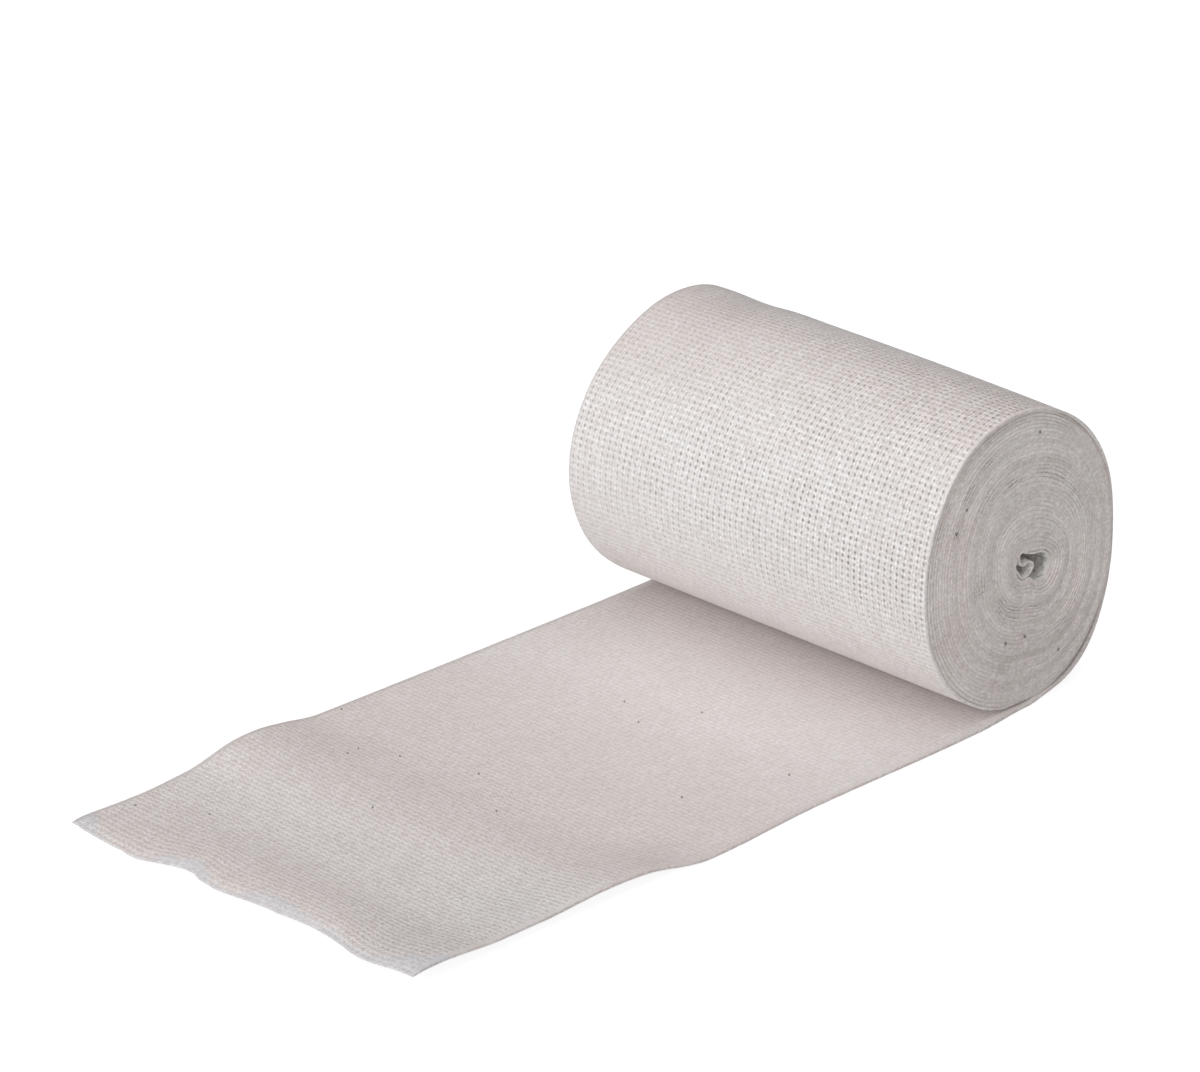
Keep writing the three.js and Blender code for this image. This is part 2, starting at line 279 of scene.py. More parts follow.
def soft_noise(*coordinates):
    """Smooth noise between about -1 and 1, the same each time."""
    points = np.stack([np.ravel(a) for a in np.broadcast_arrays(*coordinates)], -1)
    values = [noise.noise(Vector(p)) for p in points]
    return np.reshape(values, np.broadcast(*coordinates).shape)


# ---- The way the strip runs ----

def turn_radius(degrees, across):
    """How far from the axis the outer face of the outermost turn lies."""
    _, near, middle, far = columns(TURN_SHAPE)
    at = [read_around(column, degrees) for column in (near, middle, far)]
    wave = sum(rise * hump(across - crest, TOP_WAVE_BREADTH) for crest, rise in TOP_WAVES)
    return across_blend(*at, across) + wave * hump(np.mod(degrees, 360) - TOP_WAVE_AT, TOP_WAVE_REACH)


def fold_height(along, across):
    """How high the underside of the loose end stands off the surface."""
    height = np.zeros(np.broadcast(along, across).shape)
    part = (across + HALF_WIDTH) / CLOTH_WIDTH
    for at_far, at_near, reach, far, middle, near in CROSS_FOLDS:
        crest = at_near + (at_far - at_near) * part
        rise = np.maximum(0, across_blend(near, middle, far, across))
        height += rise * hump(along - crest, reach)
    for side, start, end, fade, rise, reach in LIFTED_SELVEDGES:
        started = smoothstep(start - along, 0, fade)
        ended = smoothstep(along - end, 0, fade)
        height += rise * started * ended * hump(across - side * HALF_WIDTH, reach)
    return height


def flat_path(along, across):
    """The loose end: x, y and z of its underside, which is the face that goes on as the roll's outer one."""
    places, near, far = columns(SELVEDGE_WANDER)
    side = across / HALF_WIDTH
    stray = np.where(side < 0, read_table(places, near, along), read_table(places, far, along))
    cut_places, out = columns(CUT_WANDER)
    near_cut = np.maximum(0, 1 - (along - CUT_END_AT) / CUT_WANDER_REACH)
    fray = CUT_FRAY * soft_noise(across / CUT_FRAY_LENGTH, 8.0, 0.0)
    x = along - near_cut * (read_table(cut_places, out, across) + fray)
    y = across + stray * side * np.abs(side) * smoothstep(-along, -LIFTS_OFF_AT, FULL_WANDER_FROM)
    return x, y, fold_height(along, across)


def leaving_path(wind, across):
    """The strip on its way up from the surface to where it becomes the outermost turn."""
    angles, radii = columns(LEAVING_TURN)
    joining = smoothstep(wind, JOINS_FROM, 0)
    radius = read_table(angles, radii, wind)
    radius = radius + joining * (turn_radius(0, across) - turn_radius(0, -HALF_WIDTH))
    x = radius * np.cos(np.radians(wind))
    z = np.maximum(0, AXIS_HEIGHT + radius * np.sin(np.radians(wind)))
    return x, across, z


def wound_part(wind):
    """How far out a place in the winding lies: 1 at the start of the outermost turn, 0 at the core."""
    inwards = wind / 360 / TURNS
    return 1 - inwards * (1 + LOOSENING * (inwards - 1))


def wound_path(wind, across):
    """The wound turns, each a little nearer to the core than the one outside it."""
    _, core_radius, push = columns(CORE_SHAPE)
    turn = np.radians(wind)
    outer = turn_radius(wind, across)
    outer_x = outer * np.cos(turn)
    outer_z = np.maximum(AXIS_HEIGHT + outer * np.sin(turn), BED_HEIGHT)
    inner = read_around(core_radius, wind)
    inner_x = CORE_CENTRE[0] + inner * np.cos(turn)
    inner_z = CORE_CENTRE[1] + inner * np.sin(turn)
    part = wound_part(wind)
    within = 4 * part * (1 - part)
    part = part + read_around(push, wind) * within
    wave = soft_noise(outer_x * part / WAVE_LENGTH, outer_z * part / WAVE_LENGTH, wind / 360 * WAVE_DRIFT)
    part = part + WAVE_HEIGHT * within * wave / np.hypot(outer_x - inner_x, outer_z - inner_z)
    x = inner_x + (outer_x - inner_x) * part
    z = inner_z + (outer_z - inner_z) * part
    return x, across, z


def curl_path(place, across):
    """The loose inner end, by its place among the points of its table."""
    x, z = columns(CORE_CURL)
    rows = np.arange(len(x), dtype=float)
    side = across / HALF_WIDTH
    lean_x, lean_z = CURL_LEAN
    return read_table(rows, x, place) + lean_x * side, across, read_table(rows, z, place) + lean_z * side


PATHS = {"flat": flat_path, "leaving": leaving_path, "wound": wound_path, "curl": curl_path}


def wound_thickness(wind, across, here, inwards):
    """The cloth fills the room up to the next turn, but for a little, and no more than it swells to."""
    beyond = np.stack(wound_path(wind + 360, across), -1)
    room = np.sum((beyond - here) * inwards, -1)
    deep = smoothstep(wind / 360, DEEP_FROM, DEEP_BY)
    share = LOOSE_SHARE + (FILLED_SHARE - LOOSE_SHARE) * deep
    most = CLOTH_THICKNESS + (SWOLLEN_THICKNESS - CLOTH_THICKNESS) * deep
    return np.clip(share * room, THINNEST, most)


def rim_depth(side, wind):
    """How far the selvedge lies behind the rim: soft rings, broad twists and each turn's own small step."""
    part = np.clip(wound_part(wind), 0, 1)
    turn = wind / 360
    angle = np.radians(wind)
    places, near, far = columns(WINDING_DEPTH)
    rings = read_table(places, near if side < 0 else far, part)
    spiral = (1 + np.cos(2 * np.pi * MAIN_TWISTS * part - side * angle)) / 2
    under_outermost = smoothstep(turn, 0.95, 1.15) * smoothstep(part, 0.8, 0.9)
    sunk = SUNK_DEPTH * hump(np.mod(wind, 360) - SUNK_AT, SUNK_REACH) * under_outermost
    own = OWN_STEP * soft_noise(turn * 0.93 + 7 * side, np.cos(angle) * 1.5, np.sin(angle) * 1.5)
    wound_depth = rings + TWIST_RELIEF * spiral + own + sunk
    angles, depths = columns(OUTER_DEPTH)
    inner = smoothstep(wind, 150, 230)
    fine = FINE_RIPPLE * soft_noise(wind / 11, turn * 0.3, 5.0 * side)
    depth = inner * wound_depth + (1 - inner) * read_table(angles, depths, wind)
    return np.maximum(0, depth + fine + LEAST_DEPTH)


# ---- The strip's skin ----

RIM_ROUNDING = ((0.07, 0.0), (0.02, 0.15), (0.0, 0.5), (0.02, 0.85), (0.07, 1.0))  # in from the rim, through


def section(stations):
    """The points round the strip's section: side (-1 to 1), the tuck in from the rim and the part of the
    way through the cloth. They run out along the outer face, over the far rim, back and over the near rim."""
    far = [(1, tuck, through) for tuck, through in RIM_ROUNDING]
    near = [(-1, tuck, through) for tuck, through in reversed(RIM_ROUNDING)]
    outwards = [(side, None, 0.0) for side in stations]
    back = [(side, None, 1.0) for side in reversed(stations)]
    points = outwards + far + back + near
    return SimpleNamespace(side=np.array([p[0] for p in points], float),
                           tuck=np.array([0 if p[1] is None else p[1] for p in points], float),
                           at_rim=np.array([p[1] is not None for p in points]),
                           through=np.array([p[2] for p in points], float))


FINE_SECTION = section([float(s) for s in np.linspace(-0.965, 0.965, 37)])
PLAIN_SECTION = section([-0.93, -0.5, 0.0, 0.5, 0.93])
MIDDLE_LINE = SimpleNamespace(side=np.array([0.0]), tuck=np.array([0.0]),
                              at_rim=np.array([False]), through=np.array([0.5]))

# Where the rows lie: by millimetres along the loose end, degrees round the roll and rows of the curl's table.
CUT_END_ROWS = (0, 0.25, 0.6)
FLAT_ROWS_FROM, FLAT_ROWS = 1.1, 117
LEAVING_FROM = -80.5
FINE_STEP_ROUND = 2.5
FINE_ROWS_TO, PLAIN_ROWS_FROM = 281, 285.0
OUTER_STEP_ROUND, INNER_STEP_ROUND = 5, 6.5
CURL_STEP = 0.34


def strip_rows():
    """The rows from the cut end inwards, as (kind, place), and where the plain section starts."""
    rows = [("flat", CUT_END_AT + x) for x in CUT_END_ROWS]
    rows += [("flat", x) for x in np.linspace(CUT_END_AT + FLAT_ROWS_FROM, LIFTS_OFF_AT, FLAT_ROWS)]
    rows += [("leaving", float(w)) for w in np.arange(LEAVING_FROM, -0.1, FINE_STEP_ROUND)]
    rows += [("wound", w) for w in np.arange(0, FINE_ROWS_TO, FINE_STEP_ROUND)]
    plain_from = len(rows)
    wind = PLAIN_ROWS_FROM
    while wind < 360 * TURNS:
        rows.append(("wound", wind))
        wind += OUTER_STEP_ROUND if wound_part(wind) > 0.5 else INNER_STEP_ROUND
    rows += [("curl", u) for u in np.arange(0, len(CORE_CURL) - 0.9, CURL_STEP)]
    return rows, plain_from


def edge_depth(side, flat, place, wind):
    """How far in from the full width one edge of the strip lies, row by row."""
    uneven = soft_noise(place / SELVEDGE_UNEVEN_LENGTH, 3.0 * side, 0.0)
    return np.where(flat, SELVEDGE_UNEVENNESS + SELVEDGE_UNEVENNESS * uneven, rim_depth(side, wind))


def run_strip(rows, points):
    """The points of the strip's skin, one ring to a row, and how far across the cloth each lies."""
    kinds = np.array([kind for kind, _ in rows])
    place = np.array([p for _, p in rows])
    flat, wound, curl = kinds == "flat", kinds == "wound", kinds == "curl"
    wind = np.where(flat, -90.0, np.where(curl, 360.0 * TURNS, place))
    near, far = (edge_depth(side, flat, place, wind)[:, None] for side in (-1, 1))
    rim = np.where(points.side < 0, near, far)
    across = np.where(points.at_rim, points.side * (HALF_WIDTH - rim - points.tuck), points.side * HALF_WIDTH)
    spots = np.zeros((*across.shape, 3))
    for kind, path in PATHS.items():
        chosen = kinds == kind
        if chosen.any():
            spots[chosen] = np.stack(path(place[chosen][:, None], across[chosen]), -1)
    tangent = np.gradient(spots, axis=0)
    inwards = np.stack([-tangent[..., 2], 0 * tangent[..., 1], tangent[..., 0]], -1)
    inwards = inwards / np.linalg.norm(inwards, axis=-1, keepdims=True)
    thick = np.full(across.shape, CLOTH_THICKNESS)
    thick[curl] = CURL_THICKNESS
    from_cut = smoothstep(place[flat] - CUT_END_AT, 0, CUT_THICKENS_OVER)[:, None]
    thick[flat] *= CUT_THICKNESS_SHARE + (1 - CUT_THICKNESS_SHARE) * from_cut
    thick[wound] = wound_thickness(place[wound][:, None], across[wound], spots[wound], inwards[wound])
    return spots + inwards * (thick * points.through)[..., None], across


def relaxed_lengths(rows):
    """How far each row lies from the cut end along the cloth, as woven."""
    middle = run_strip(rows, MIDDLE_LINE)[0][:, 0]
    steps = np.linalg.norm(np.diff(middle, axis=0), axis=1)
    stretch = np.array([1 if kind == "flat" else WOUND_STRETCH for kind, _ in rows[1:]])
    return np.concatenate([[0], np.cumsum(steps / stretch)])


def make_skin():
    """What is known at each point of the strip's skin: the fine section's rows, then the plain one's."""
    rows, plain_from = strip_rows()
    # Each part is run one row further than it goes, so that its skin slopes evenly into the other.
    fine, fine_across = (part[:-1] for part in run_strip(rows[:plain_from + 1], FINE_SECTION))
    plain, plain_across = (part[1:] for part in run_strip(rows[plain_from - 1:], PLAIN_SECTION))

    def by_row(values):
        values = np.array(values)
        return np.concatenate([np.repeat(values[:plain_from], fine.shape[1]),
                               np.repeat(values[plain_from:], plain.shape[1])])

    def by_section(name):
        return np.concatenate([np.tile(getattr(FINE_SECTION, name), len(fine)),
                               np.tile(getattr(PLAIN_SECTION, name), len(plain))])

    kinds = [kind for kind, _ in rows]
    kind = by_row(kinds)
    place = by_row([p for _, p in rows])
    lengths = relaxed_lengths(rows)
    across = np.concatenate([fine_across.ravel(), plain_across.ravel()])
    points = np.concatenate([fine.reshape(-1, 3), plain.reshape(-1, 3)])
    return SimpleNamespace(
        points=points, x=points[:, 0], z=points[:, 2],
        across=across, side=across / HALF_WIDTH, ring_side=by_section("side"), through=by_section("through"),
        wind=np.where(kind == "wound", place, np.where(kind == "curl", 360 * TURNS, 0)),
        tail=kind == "flat", roll=kind == "wound", outermost=(kind == "wound") & (place < OUTERMOST_ENDS_AT),
        along=by_row(lengths), row=by_row(np.arange(len(rows))),
        leaving_from=kinds.index("leaving"), plain_from=plain_from, curl_from=kinds.index("curl"),
        rows=len(rows), length=lengths[-1])


def ring_faces(first, count):
    """The faces between a ring and the next one, which has as many points."""
    after = first + count
    return [(first + k, first + (k + 1) % count, after + (k + 1) % count, after + k) for k in range(count)]


def ring_places(points):
    """How far round the section each point lies, growing from the first one."""
    at_rim = np.where(points.side > 0, 1 + points.through, 5 - points.through)
    on_face = np.where(points.through > 0.5, 3 - points.side, points.side)
    return np.where(points.at_rim, at_rim, on_face)


def lacing(first, first_places, second, second_places):
    """Triangles between two rings with different numbers of points, matched by their places."""
    around = 6
    next_first = [*first_places[1:], first_places[0] + around]
    next_second = [*second_places[1:], second_places[0] + around]
    faces = []
    a = b = 0
    while a < len(next_first) or b < len(next_second):
        here = first + a % len(next_first)
        there = second + b % len(next_second)
        if b == len(next_second) or (a < len(next_first) and next_first[a] <= next_second[b]):
            a += 1
            faces.append((here, first + a % len(next_first), there))
        else:
            b += 1
            faces.append((here, second + b % len(next_second), there))
    return faces


def end_faces(first, count, outwards):
    """Closes the strip at its first or last ring, by pairing the points of its two faces."""
    rim = len(RIM_ROUNDING)
    last_pair = (count - 2 * rim) + rim - 1
    stations = (count - 2 * rim) // 2
    faces = []
    for k in range(-(rim // 2) - 1, stations + rim // 2):
        corners = [k, k + 1, last_pair - k - 1, last_pair - k]
        loop = list(dict.fromkeys(first + c % count for c in corners))
        faces.append(tuple(loop if outwards else reversed(loop)))
    return faces


def skin_faces(skin):
    """The faces of the closed skin."""
    fine_count, plain_count = len(FINE_SECTION.side), len(PLAIN_SECTION.side)
    first_plain = skin.plain_from * fine_count
    last_fine = first_plain - fine_count
    last_plain = first_plain + (skin.rows - skin.plain_from - 1) * plain_count
    faces = []
    for first in range(0, last_fine, fine_count):
        faces += ring_faces(first, fine_count)
    faces += lacing(last_fine, ring_places(FINE_SECTION), first_plain, ring_places(PLAIN_SECTION))
    for first in range(first_plain, last_plain, plain_count):
        faces += ring_faces(first, plain_count)
    faces += end_faces(0, fine_count, False)
    faces += end_faces(last_plain, plain_count, True)
    return faces


# ---- What the material reads from the mesh ----

def near_spot(skin, x, z, reach):
    """1 at a spot on the roll's ends, 0 at `reach` from it and beyond."""
    return hump(np.hypot(skin.x - x, skin.z - z), reach)


def far_top(skin):
    """1 on the top of the outermost turn towards its +Y end, where the weave is flatter and darker."""
    return skin.outermost * smoothstep(skin.side, 0.2, 0.65) * smoothstep(-skin.wind, -150, -120)


def weave_state(skin):
    """How far the weave is pulled open, how much whiter it looks, also as painted sheen, and how its yarns
    stand out.
    """
    angles, open_at, white_at, relief_at = columns(TURN_WEAVE)
    hidden_open, hidden_white, hidden_relief = HIDDEN_WEAVE
    wind, side, x = skin.wind, skin.side, skin.x
    closing = 0.18 + 0.4 * smoothstep(-wind, -140, -100) + 0.25 * smoothstep(wind, 155, 175)
    bared = 0.15 * hump(wind - 135, 35) * smoothstep(-side, 0, 0.6)
    opened = read_table(angles, open_at, wind) * (1 - closing * side)
    opened = np.where(skin.outermost, opened, hidden_open)
    white = read_table(angles, white_at, wind) * (1 - 0.25 * side * side) + bared
    white = np.where(skin.outermost, white, hidden_white)
    relief = read_table(angles, relief_at, wind) * (1 - 0.25 * far_top(skin))
    relief = np.where(skin.outermost, relief, hidden_relief)

    # Painted sheen: the slope of the fold that faces the light is made whiter.
    lit_flank = hump(x - SHEEN_FLANK_AT, SHEEN_FLANK_REACH) * (0.75 - 0.25 * side)
    near_side = smoothstep(-side, 0.2, 0.8) * smoothstep(-x, 88, 102)
    frayed = 0.15 + 0.22 * smoothstep(-x, 112, 124)
    tail_open = 0.06 + 0.17 * smoothstep(-x, 70, 100) + 0.03 * lit_flank + frayed * near_side
    tail_white = 0.32 * lit_flank + 0.24 * near_side + 0.3 * smoothstep(x, -65, -35)
    tail_relief = 0.95 + 0.6 * smoothstep(-x, 55, 110)
    return (np.where(skin.tail, tail_open, opened), np.where(skin.tail, tail_white, white),
            np.where(skin.tail, tail_relief, relief))


def winding_state(skin):
    """Which turn it is, how ribbed it looks and how loose its edge stands on the near end."""
    ribs = np.max([share * hump(skin.wind - at, reach) for at, reach, share in RIBBED], axis=0)
    ribs = np.where(skin.outermost, ribs, TAIL_RIBS * skin.tail)
    # Where the turns stand apart, for the painted shadow between them.
    loose = np.max([near_spot(skin, *patch) for patch in LOOSE_PATCHES], axis=0)
    return skin.wind / 360, ribs, loose * (skin.across < 0)


def cut_and_painted_shade_state(skin):
    """How far in the cut end is stiffened, how much lighter or darker the cloth is made, partly as painted
    light and shade, and the painted shadow lines between turns.
    """
    cut_across, reaches = columns(FUSED_REACH)
    fused = read_table(cut_across, reaches, skin.across) * skin.tail
    # Painted light: a lighter band across the loose end before its cut end.
    shade = skin.tail * 0.09 * hump(skin.x - PAINTED_LIGHT_BAND_AT, PAINTED_LIGHT_BAND_REACH) * (0.65 + 0.35 * skin.side)
    shade -= 0.1 * far_top(skin)
    # Painted light and shade: lighter and darker patches on the roll's near end.
    for x, z, reach, change in END_PAINTED_SHADING:
        shade += change * near_spot(skin, x, z, reach) * (skin.ring_side == -1)
    # Painted shadow lines between the outer turns on the near end.
    round_roll = hump(np.mod(skin.wind, 360) - RIM_SHADOW_LINES_AT, RIM_SHADOW_LINES_REACH)
    depth = smoothstep(skin.wind / 360, RIM_SHADOW_LINES_GONE, RIM_SHADOW_LINES_FULL)
    return fused, shade, skin.roll * depth * round_roll * (skin.across < 0)


def store(mesh, name, values):
    """Keeps three numbers on each point of the mesh, for the material to read."""
    attribute = mesh.attributes.new(name, "FLOAT_VECTOR", "POINT")
    attribute.data.foreach_set("vector", np.stack(values, -1).astype(np.float32).ravel())


# ---- The map the looks are baked through ----

TAIL_BOX = (0.010, 0.345, 0.205, 0.988)  # each box: from and to across the map, then up it
TURN_BOX = (0.355, 0.690, 0.205, 0.995)
NEAR_BOX = (0.700, 0.995, 0.700, 0.995)
FAR_BOX = (0.700, 0.995, 0.395, 0.690)
UNDER_BOX = (0.700, 0.840, 0.205, 0.385)
INSIDE_BOX = (0.855, 0.995, 0.205, 0.385)
BANDS_BOX = (0.005, 0.995, 0.005, 0.195)
ENDS_BOX = (0.010, 0.345, 0.991, 0.996)
RIM_BREADTH = 0.004  # of the loose end's two rims, beside its face
END_CORNER = (-29, -0.5)  # x and z of the lower corner of the square round the roll's end
END_SQUARE = 59
BAND_MARGIN = 0.05  # left free on each side of a band
BAND_SPARE = 1.02  # room along a band for the faces that run over the end of their turn
LAST_FACES = 0.01  # the part of a band that the faces of the strip's inner end take


def in_box(box, first, second):
    """A place in a box of the map, from how far across and up it is."""
    left, right, low, high = box
    return np.stack([left + (right - left) * first, low + (high - low) * second], -1)


def map_skin(mesh, faces, skin):
    """Lays the skin out flat: the upper face of the loose end, the face of the outermost turn and the
    roll's two ends large, and the hidden faces of the wound turns as narrow bands, one to a turn."""
    corners = np.concatenate([np.array(face) for face in faces])
    counts = np.array([len(face) for face in faces])
    firsts = np.concatenate([[0], np.cumsum(counts)[:-1]])

    def of_face(reduce, values):
        return np.repeat(reduce.reduceat(values[corners], firsts), counts)

    lowest, highest = of_face(np.minimum, skin.row), of_face(np.maximum, skin.row)
    outer, inner = of_face(np.maximum, skin.through) == 0, of_face(np.minimum, skin.through) == 1
    rim = ~outer & ~inner
    far = of_face(np.add, skin.ring_side) > 0
    tail = lowest < skin.leaving_from
    fine = ~tail & (highest < skin.plain_from)
    curl = lowest >= skin.curl_from
    through, row, along = skin.through[corners], skin.row[corners], skin.along[corners]
    half = (skin.ring_side[corners] + 1) / 2

    tail_length = along[row == skin.leaving_from].max()
    turn_length = along[row == skin.plain_from - 1].max() - tail_length
    place = in_box(TAIL_BOX, half, along / tail_length)
    left, right, _, _ = TAIL_BOX
    beside = np.where(far, right + RIM_BREADTH * (1 - through), left - RIM_BREADTH * (1 - through))
    place[tail & rim, 0] = beside[tail & rim]

    def lay(chosen, box, first, second):
        place[chosen] = in_box(box, first, second)[chosen]

    lay(tail & outer, UNDER_BOX, half, along / tail_length)
    part = (along - tail_length) / turn_length
    lay(fine & outer, TURN_BOX, half, part)
    lay(fine & inner, INSIDE_BOX, half, part)
    end_x = (skin.x[corners] - END_CORNER[0]) / END_SQUARE
    end_z = (skin.z[corners] - END_CORNER[1]) / END_SQUARE
    lay(~tail & rim & ~far, NEAR_BOX, end_x, end_z)
    lay(~tail & rim & far, FAR_BOX, end_x, end_z)
    turn = np.where(curl, TURNS, np.floor(of_face(np.minimum, skin.wind) / 360))
    round_curl = (row - skin.curl_from) / (skin.row.max() - skin.curl_from)
    round_turn = np.where(curl, round_curl, (skin.wind[corners] / 360 - turn) / BAND_SPARE)
    band = (2 * turn + inner + BAND_MARGIN + (1 - 2 * BAND_MARGIN) * half) / (2 * TURNS + 2)
    lay(~tail & ~fine & ~rim, BANDS_BOX, round_turn, band)
    lay(highest == 0, ENDS_BOX, half, through)
    lay(lowest == skin.row.max(), BANDS_BOX, 1 - LAST_FACES * (1 - through), band)
    layer = mesh.uv_layers.new(name="OFBake")
    layer.uv.foreach_set("vector", place.astype(np.float32).ravel())


def make_cloth():
    """The whole strip as one closed mesh, and its length as woven."""
    skin = make_skin()
    faces = skin_faces(skin)
    mesh = bpy.data.meshes.new("bandage_cloth")
    mesh.from_pydata(skin.points * MM, [], faces)
    mesh.shade_smooth()
    store(mesh, "cloth", (skin.across, skin.along, skin.through))
    store(mesh, "state", weave_state(skin))
    store(mesh, "winding", winding_state(skin))
    store(mesh, "finish", cut_and_painted_shade_state(skin))
    map_skin(mesh, faces, skin)
    return put("bandage_cloth", mesh), skin.length


# ---- Writing materials ----

def sum_method(operation, reflected=False):
    """A method of Value that adds a Math node."""
    def method(self, *others):
        values = (*others, self) if reflected else (self, *others)
        made = self.shader.node("ShaderNodeMath", {"operation": operation}, dict(enumerate(values)))
        return Value(self.shader, made.outputs[0])
    return method


class Value:
    """A number that changes over the surface. Sums with it add their Math nodes."""

    def __init__(self, shader, socket):
        self.shader = shader
        self.socket = socket

    __add__ = sum_method("ADD")
    __radd__ = sum_method("ADD", reflected=True)
    __sub__ = sum_method("SUBTRACT")
    __rsub__ = sum_method("SUBTRACT", reflected=True)
    __mul__ = sum_method("MULTIPLY")
    __rmul__ = sum_method("MULTIPLY", reflected=True)
    __truediv__ = sum_method("DIVIDE")
    __pow__ = sum_method("POWER")
    __abs__ = sum_method("ABSOLUTE")
    floor = sum_method("FLOOR")
    sine = sum_method("SINE")
    cosine = sum_method("COSINE")
    most = sum_method("MAXIMUM")
    least = sum_method("MINIMUM")


class Shader:
    """The nodes of a material, or of the sky."""

    def __init__(self, owner):
        self.owner = owner
        owner.use_nodes = True
        self.tree = owner.node_tree
        self.tree.nodes.clear()

    def node(self, kind, settings=None, inputs=None):
        """Adds a node: its settings first, then the values or links of its sockets."""
        made = self.tree.nodes.new(kind)
        for name, setting in (settings or {}).items():
            if name == "stops":
                self.set_stops(made.color_ramp, setting)
            else:
                setattr(made, name, setting)
        for name, given in (inputs or {}).items():
            socket = given.socket if isinstance(given, Value) else given
            if isinstance(socket, bpy.types.NodeSocket):
                self.tree.links.new(socket, made.inputs[name])
            else:
                made.inputs[name].default_value = socket
        return made

    @staticmethod
    def set_stops(ramp, stops):
        for _ in stops[2:]:
            ramp.elements.new(0.5)
        for element, (place, shade) in zip(ramp.elements, stops):
            element.position = place
            element.color = shade

    def value(self, node, output=0):
        return Value(self, node.outputs[output])

    def parts(self, place):
        """The three numbers of a place or direction."""
        apart = self.node("ShaderNodeSeparateXYZ", inputs={0: place})
        return [self.value(apart, k) for k in range(3)]

    def numbers(self, name):
        """The three numbers of one of the mesh's own attributes."""
        return self.parts(self.node("ShaderNodeAttribute", {"attribute_name": name}).outputs["Vector"])

    def spot(self, x, y, z=0.0):
        return self.node("ShaderNodeCombineXYZ", inputs={0: x, 1: y, 2: z}).outputs[0]

    def noise(self, place, scale, detail, rough):
        """Soft noise from about -0.5 to 0.5, with `scale` lumps to each unit of its place."""
        made = self.node("ShaderNodeTexNoise", {"noise_dimensions": "3D"},
                         {"Vector": place, "Scale": scale, "Detail": detail, "Roughness": rough})
        return self.value(made) - 0.5

    def uneven(self, kind, x, y, layer=None):
        """One of the cloth's unevennesses, from about -0.5 to 0.5."""
        own_layer, scale, detail, rough = UNEVEN[kind]
        return self.noise(self.spot(x, y, own_layer if layer is None else layer), scale, detail, rough)

    def dice(self, x, y, z=0.0):
        """A number from 0 to 1 for each whole place."""
        return self.value(self.node("ShaderNodeTexWhiteNoise", {"noise_dimensions": "3D"},
                                    {"Vector": self.spot(x, y, z)}))

    def step(self, value, low, high, start=0.0, end=1.0):
        """A smooth step from `start` to `end` as the value goes from low to high."""
        made = self.node("ShaderNodeMapRange", {"interpolation_type": "SMOOTHSTEP"},
                         {"Value": value, "From Min": low, "From Max": high, "To Min": start, "To Max": end})
        return self.value(made)

    def mix(self, part, first, second, blend="MIX"):
        """Mixes two colours."""
        made = self.node("ShaderNodeMix", {"data_type": "RGBA", "blend_type": blend, "clamp_factor": True},
                         {0: part, 6: first, 7: second})
        return made.outputs[2]

    def ramp(self, value, stops):
        """A colour from a row of shades."""
        return self.node("ShaderNodeValToRGB", {"stops": stops}, {0: value}).outputs[0]


def colour(red, green, blue):
    """A colour from its screen values, 0 to 255."""
    parts = [c / 255 for c in (red, green, blue)]
    return (*[p / 12.92 if p <= 0.04045 else ((p + 0.055) / 1.055) ** 2.4 for p in parts], 1)


# ---- The cotton ----

PAIRS_ACROSS = 1.285  # from one pair of warp yarns to the next, in millimetres
PICKS_ALONG = 1.025  # from one weft yarn to the next, at rest
YARN_HALF_WIDTH = 0.26  # of a warp yarn, as a part of a cell
WEFT_HALF_WIDTH = 0.3
YARN_OFFSET = 0.25  # from the middle of a pair to each of its yarns
GAP_HALF_WIDTH = 0.195  # of the gaps between the pairs, as parts of a cell
GAP_HALF_LENGTH = 0.29
GAP_LEAN = 0.4  # how far the gaps lean over
CRIMP = 0.42  # how far the yarns rise and dip as they cross
SELVEDGE = 0.4  # the close-woven band along each side
SELVEDGE_BLEND = 0.5

# The cloth's unevennesses, each a soft noise: its own layer, its lumps to each unit of the place it is read
# at, its detail and its roughness. Beads and nips take their layer from how far through the cloth they lie.
UNEVEN = {"sway across": (3, 0.09, 2, 0.5), "sway along": (11, 0.08, 2, 0.5), "jitter": (17, 0.9, 1, 0.5),
          "patches": (23, 0.14, 2, 0.5), "clouds": (31, 0.1, 2, 0.5), "rags": (41, 0.8, 3, 0.6),
          "lumps": (61, 1.7, 2, 0.6), "blush": (71, 0.35, 3, 0.6), "winding": (51, 1.0, 2, 0.6),
          "bands": (57, 1.0, 1, 0.5), "seams apart": (77, 1.0, 0, 0.5), "beads": (None, 1.0, 2, 0.6),
          "nips": (None, 1.0, 1, 0.5), "fuzz": (81, 1.8, 3, 0.65), "puffs": (91, 0.7, 2, 0.6),
          "greying": (95, 0.35, 3, 0.6)}
FLUFF_TO_A_METRE = 2400
LINT_TO_A_METRE = 1000
END_SQUEEZE = 0.7  # the lumps on the roll's ends are longer along X than along Z

YARN_SHADES = ((0.1, colour(204, 192, 188)), (0.5, colour(229, 218, 215)), (0.9, colour(249, 244, 242)))
# The whiter shades stand for the open weave and for painted sheen where the light falls.
OPEN_AND_SHEEN_SHADES = ((0.1, colour(208, 205, 203)), (0.5, colour(230, 227, 226)), (0.9, colour(250, 251, 252)))
CUT_END_SHADES = (colour(200, 203, 210), colour(226, 229, 235))
# The painted shadow between the turns on the roll's ends.
TURN_GAP_SHADOW = colour(100, 91, 84)
# Painted shadow seen in the weave's holes.
HOLE_SHADOW = colour(136, 126, 116)
